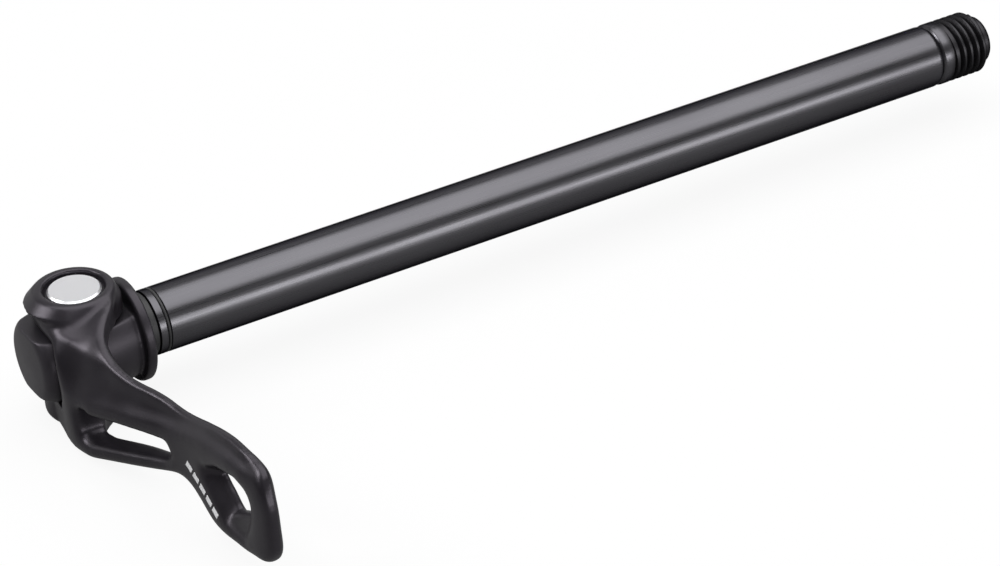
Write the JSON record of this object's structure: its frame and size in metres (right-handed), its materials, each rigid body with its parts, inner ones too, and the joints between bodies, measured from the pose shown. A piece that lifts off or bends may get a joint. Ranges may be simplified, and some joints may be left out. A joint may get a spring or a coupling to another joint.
{
  "type": "bicycle thru axle",
  "caption": "Bicycle thru axle: a long tube with a threaded end, a clamping flange and a quick-release cam lever that swings over to release the clamp.",
  "frame": {"origin": "centre of the flange's clamping face, on the axle's axis", "axes": "+X along the axle towards the threaded end, +Z along the lever's pivot towards the bright head, and the closed lever along -Y"},
  "size_m": [0.2006, 0.0776, 0.0245],
  "materials": {
    "anodised_tube": "satin dark grey anodised",
    "black_housing": "satin black anodised",
    "black_lever": "fine bead-blasted black anodised",
    "bright_steel": "turned and polished",
    "plain_steel": "plain zinc plated",
    "dark_steel": "black oxide",
    "bushing_polymer": "matt black bearing polymer",
    "rubber": "matt black"
  },
  "bodies": {
    "axle": {"axle_tube": "anodised_tube", "seal_ring": "rubber", "o_ring": "rubber", "stem": "plain_steel", "stem_pin": "plain_steel"},
    "clamp": {"cam_housing": "black_housing", "upper_bushing": "bushing_polymer", "lower_bushing": "bushing_polymer"},
    "lever": {"lever": "black_lever", "cam_shaft": "bright_steel", "lock_washer": "plain_steel", "cam_screw": "dark_steel"}
  },
  "joints": [
    {"name": "clamp_slide", "type": "slide", "parent": "axle", "child": "clamp", "axis": [-1, 0, 0], "range_m": [0, 0.0012]},
    {"name": "lever_pivot", "type": "hinge", "parent": "clamp", "child": "lever", "pos_m": [-0.0103, 0, 0], "axis": [0, 0, -1], "range_deg": [0, 180]}
  ],
  "couplings": [
    {"joint": "clamp_slide", "follows": "lever_pivot", "m_per_rad": 0.00038197}
  ]
}
